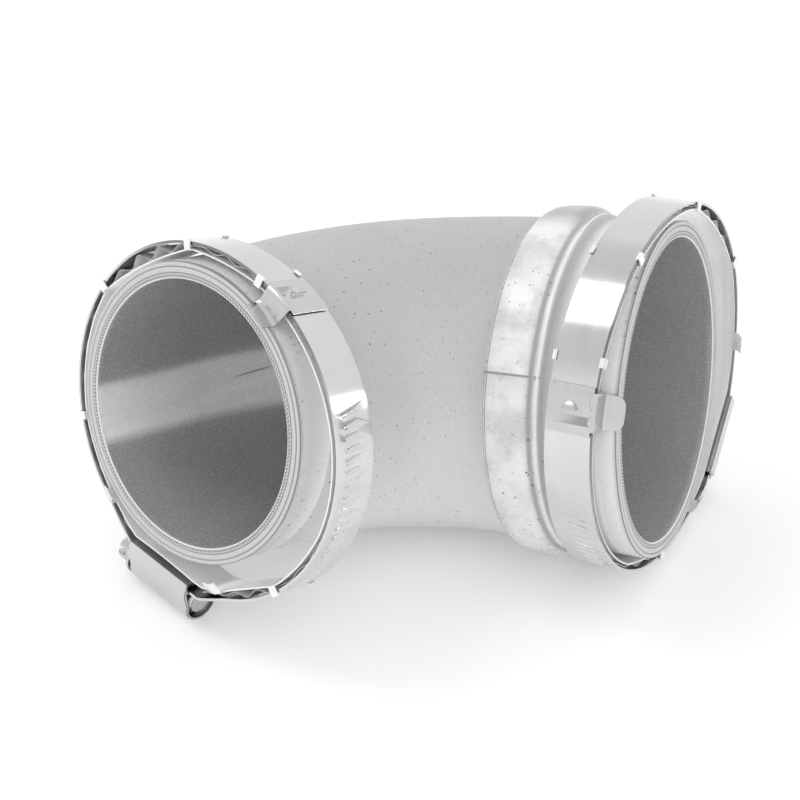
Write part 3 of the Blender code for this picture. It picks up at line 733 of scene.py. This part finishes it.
def floor_material():
    """Takes the shadow, and glows a little to the camera and in reflections and refractions."""
    material = bpy.data.materials.new("floor_white")
    material.use_nodes = True
    tree = material.node_tree
    tree.nodes.clear()
    rays = tree.nodes.new("ShaderNodeLightPath")
    seen = rays.outputs["Is Camera Ray"]
    for kind in ("Is Glossy Ray", "Is Transmission Ray"):
        either = tree.nodes.new("ShaderNodeMath")
        either.operation = "MAXIMUM"
        tree.links.new(seen, either.inputs[0])
        tree.links.new(rays.outputs[kind], either.inputs[1])
        seen = either.outputs[0]
    strength = tree.nodes.new("ShaderNodeMath")
    strength.operation = "MULTIPLY"
    strength.inputs[1].default_value = FLOOR_GLOW
    glow = tree.nodes.new("ShaderNodeEmission")
    diffuse = tree.nodes.new("ShaderNodeBsdfDiffuse")
    diffuse.inputs["Color"].default_value = (FLOOR_LEVEL, FLOOR_LEVEL, FLOOR_LEVEL, 1.0)
    total = tree.nodes.new("ShaderNodeAddShader")
    output = tree.nodes.new("ShaderNodeOutputMaterial")
    tree.links.new(seen, strength.inputs[0])
    tree.links.new(strength.outputs[0], glow.inputs["Strength"])
    tree.links.new(diffuse.outputs[0], total.inputs[0])
    tree.links.new(glow.outputs[0], total.inputs[1])
    tree.links.new(total.outputs[0], output.inputs["Surface"])
    return material


# Surroundings

def make_floor():
    shape = bmesh.new()
    bmesh.ops.create_grid(shape, x_segments=8, y_segments=8, size=FLOOR_REACH)
    mesh = bpy.data.meshes.new("floor")
    shape.to_mesh(mesh)
    shape.free()
    floor = bpy.data.objects.new("floor", mesh)
    bpy.context.scene.collection.objects.link(floor)
    mesh.materials.append(floor_material())


def make_world():
    """White room with a light grey hood round the key lamp."""
    world = bpy.data.worlds.new("studio")
    bpy.context.scene.world = world
    world.use_nodes = True
    tree = world.node_tree
    background = tree.nodes["Background"]
    background.inputs["Color"].default_value = (1.0, 1.0, 1.0, 1.0)
    direction = tree.nodes.new("ShaderNodeTexCoord")
    closeness = tree.nodes.new("ShaderNodeVectorMath")
    closeness.operation = "DOT_PRODUCT"
    closeness.inputs[1].default_value = (Vector(KEY_PLACE) - Vector(KEY_TARGET)).normalized()
    level = tree.nodes.new("ShaderNodeMapRange")
    level.inputs["From Min"].default_value = HOOD_RIM
    level.inputs["From Max"].default_value = HOOD_FULL
    level.inputs["To Min"].default_value = 1.0
    level.inputs["To Max"].default_value = HOOD_LEVEL
    tree.links.new(direction.outputs["Generated"], closeness.inputs[0])
    tree.links.new(closeness.outputs["Value"], level.inputs["Value"])
    tree.links.new(level.outputs["Result"], background.inputs["Strength"])


def make_lamp(name, place, target, size, level):
    """Soft lamp with a flat face; level 1 lights a white surface that faces it to white."""
    lamp = bpy.data.lights.new(name, "AREA")
    lamp.shape = "RECTANGLE"
    lamp.size, lamp.size_y = size
    offset = Vector(place) - Vector(target)
    lamp.energy = level * math.pi ** 2 * offset.length ** 2
    obj = bpy.data.objects.new(name, lamp)
    obj.location = place
    obj.rotation_euler = offset.to_track_quat("Z", "Y").to_euler()
    bpy.context.scene.collection.objects.link(obj)


def make_camera():
    data = bpy.data.cameras.new("camera")
    data.lens = CAMERA_LENS
    data.sensor_width = 36.0
    camera = bpy.data.objects.new("camera", data)
    camera.location = CAMERA_PLACE
    camera.rotation_euler = [math.radians(angle) for angle in CAMERA_TURN]
    bpy.context.scene.collection.objects.link(camera)
    bpy.context.scene.camera = camera


# The object

def finish_piece(piece, node, body):
    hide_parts(node)
    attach(piece, body)


def dress_clamp(side):
    hoop = hoop_of(f"{side}_clamp_liner")
    for part, (slot, level, roughness, metallic, edge_round) in STEEL.items():
        node = f"{side}_clamp_{part}"
        darker_at = extent_along(node, hoop) if part == "band" else ()
        material = steel_material(f"{node}_steel", level, roughness, metallic, darker_at)
        edge_material = steel_material(f"{node}_edge", EDGE_LEVEL, EDGE_ROUGHNESS)
        piece = refined(node, hoop, material, edge_material, edge_round)
        body = f"{side}_screw" if part == "screw" else "hose"
        finish_piece(piece, node, body)


def main():
    bpy.context.scene.view_settings.view_transform = "Standard"
    make_camera()
    make_world()
    make_floor()
    make_lamp("key", KEY_PLACE, KEY_TARGET, KEY_SIZE, KEY_LEVEL)
    make_lamp("side", SIDE_PLACE, SIDE_TARGET, SIDE_SIZE, SIDE_LEVEL)
    finish_piece(make_hose(hose_material()), "hose_elbow", "hose")
    dress_clamp("small")
    dress_clamp("large")


main()
